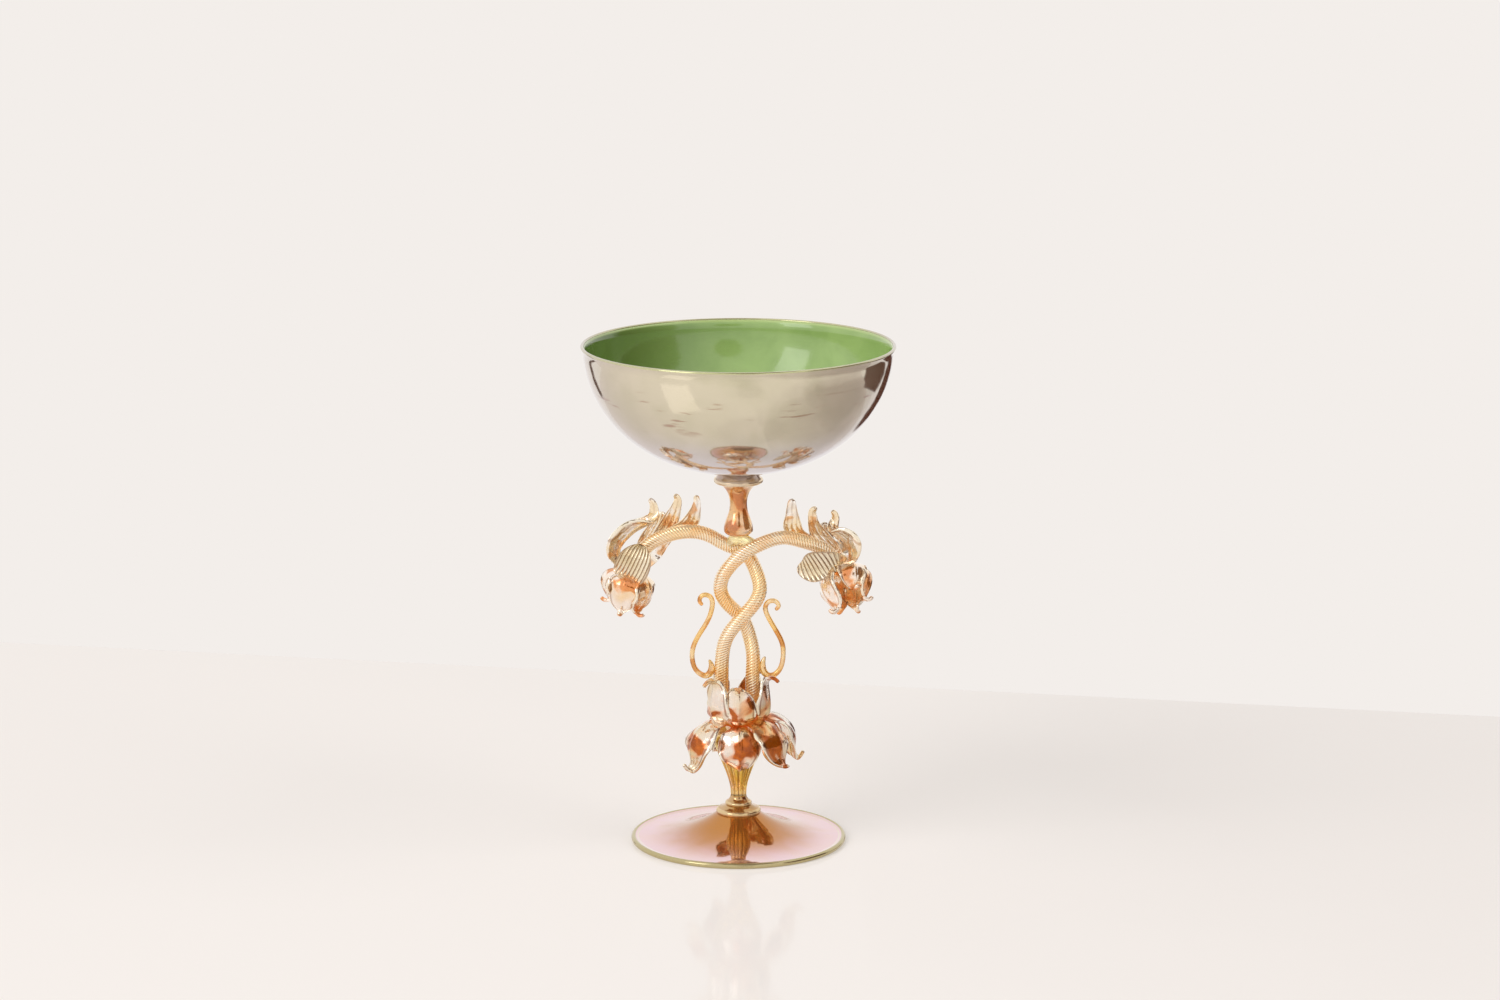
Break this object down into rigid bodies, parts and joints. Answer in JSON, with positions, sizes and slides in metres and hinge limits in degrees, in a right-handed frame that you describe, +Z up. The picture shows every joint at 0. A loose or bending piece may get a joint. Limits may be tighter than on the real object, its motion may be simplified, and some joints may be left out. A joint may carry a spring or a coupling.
{
  "type": "goblet",
  "caption": "Footed glass goblet: wide green-lined bowl over interlaced ribbed canes with scroll handles and horned blossoms at the stem and arms.",
  "frame": {"origin": "centre of the ring on which the foot stands", "axes": "+Z up along the goblet's axis, +X to the right and +Y away from someone who looks at its front"},
  "size_m": [0.1538, 0.1538, 0.25],
  "materials": {
    "rose_foot_glass": "iridescent pink-lilac blown glass, olive at the rim",
    "iridescent_merese_glass": "lustred champagne glass with silvery reflections",
    "amber_rib_glass": "amber-gold ribbed glass with lustre",
    "gold_leaf_core_glass": "amber glass with gold leaf",
    "rose_gold_petal_glass": "tooled rose-gold glass with gold leaf and lustre",
    "champagne_apron_glass": "pale tooled glass with combed ribs",
    "amber_twist_glass": "amber-gold glass cane with fine twisted ribs",
    "amber_scroll_glass": "smooth amber-gold glass rod",
    "clear_joint_glass": "clear pale yellow glass",
    "lustred_bowl_glass": "iridescent cream glass",
    "green_lining_glass": "green lustred glass"
  },
  "bodies": {
    "root": {"blossom_core": "gold_leaf_core_glass", "blossom_fall_back_left": "rose_gold_petal_glass", "blossom_fall_back_right": "rose_gold_petal_glass", "blossom_fall_front": "rose_gold_petal_glass", "blossom_fall_left": "rose_gold_petal_glass", "blossom_fall_right": "rose_gold_petal_glass", "blossom_standard_back_left": "rose_gold_petal_glass", "blossom_standard_back_right": "rose_gold_petal_glass", "blossom_standard_front": "rose_gold_petal_glass", "blossom_standard_left": "rose_gold_petal_glass", "blossom_standard_right": "rose_gold_petal_glass", "bowl_casing": "lustred_bowl_glass", "bowl_collar": "iridescent_merese_glass", "bowl_lining": "green_lining_glass", "foot": "rose_foot_glass", "foot_merese_lower": "iridescent_merese_glass", "foot_merese_upper": "iridescent_merese_glass", "left_cane": "amber_twist_glass", "left_flower_apron": "champagne_apron_glass", "left_flower_bud_back_inner": "rose_gold_petal_glass", "left_flower_bud_back_outer": "rose_gold_petal_glass", "left_flower_bud_front": "rose_gold_petal_glass", "left_flower_bud_inner": "rose_gold_petal_glass", "left_flower_bud_outer": "rose_gold_petal_glass", "left_flower_core": "gold_leaf_core_glass", "left_flower_horn_back": "rose_gold_petal_glass", "left_flower_horn_inner": "rose_gold_petal_glass", "left_flower_horn_middle": "rose_gold_petal_glass", "left_flower_horn_outer": "rose_gold_petal_glass", "left_scroll": "amber_scroll_glass", "ribbed_vase_knop": "amber_rib_glass", "right_cane": "amber_twist_glass", "right_flower_apron": "champagne_apron_glass", "right_flower_bud_back_inner": "rose_gold_petal_glass", "right_flower_bud_back_outer": "rose_gold_petal_glass", "right_flower_bud_front": "rose_gold_petal_glass", "right_flower_bud_inner": "rose_gold_petal_glass", "right_flower_bud_outer": "rose_gold_petal_glass", "right_flower_core": "gold_leaf_core_glass", "right_flower_horn_back": "rose_gold_petal_glass", "right_flower_horn_inner": "rose_gold_petal_glass", "right_flower_horn_middle": "rose_gold_petal_glass", "right_flower_horn_outer": "rose_gold_petal_glass", "right_scroll": "amber_scroll_glass", "stem_joint": "clear_joint_glass", "upper_knop": "amber_rib_glass"}
  },
  "joints": []
}
